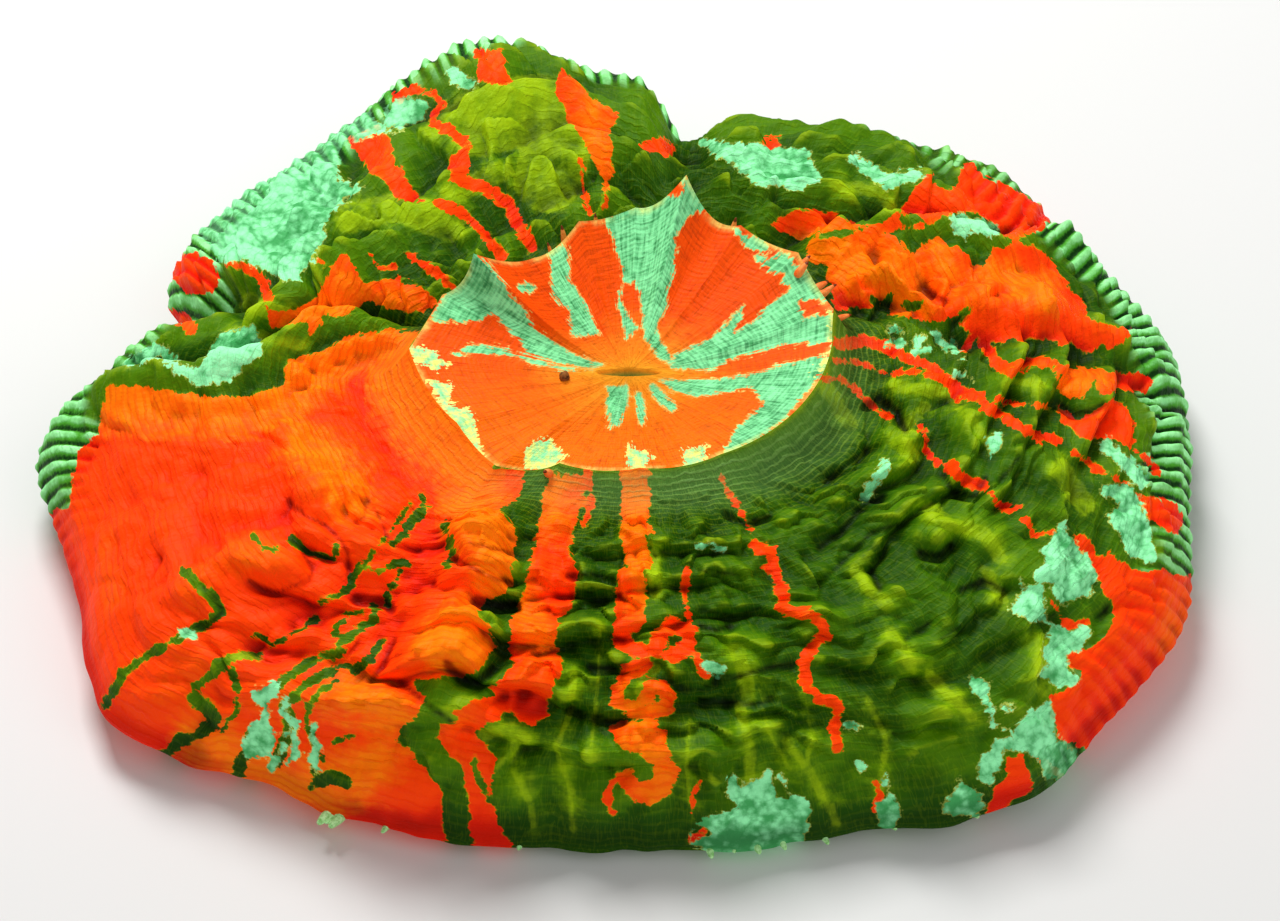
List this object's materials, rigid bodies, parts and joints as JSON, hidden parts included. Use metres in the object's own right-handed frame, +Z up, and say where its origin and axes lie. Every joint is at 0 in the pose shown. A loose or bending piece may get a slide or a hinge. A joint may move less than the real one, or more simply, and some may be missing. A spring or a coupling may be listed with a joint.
{
  "type": "meat coral",
  "caption": "Single large fleshy stony coral polyp: an oval mouth disc with pointed corners on a broad wrinkled mantle with a lobed, ribbed margin, resting on a flat foot.",
  "frame": {"origin": "on the floor under the middle of the body's bounding box", "axes": "+Z up, +X to the viewer's right along the mouth slit, +Y towards the back lobes"},
  "size_m": [0.1358, 0.1213, 0.0324],
  "materials": {
    "flesh": "soft satin flesh, orange-red and dark green with mint patches"
  },
  "bodies": {
    "root": {"polyp": "flesh"}
  },
  "joints": []
}
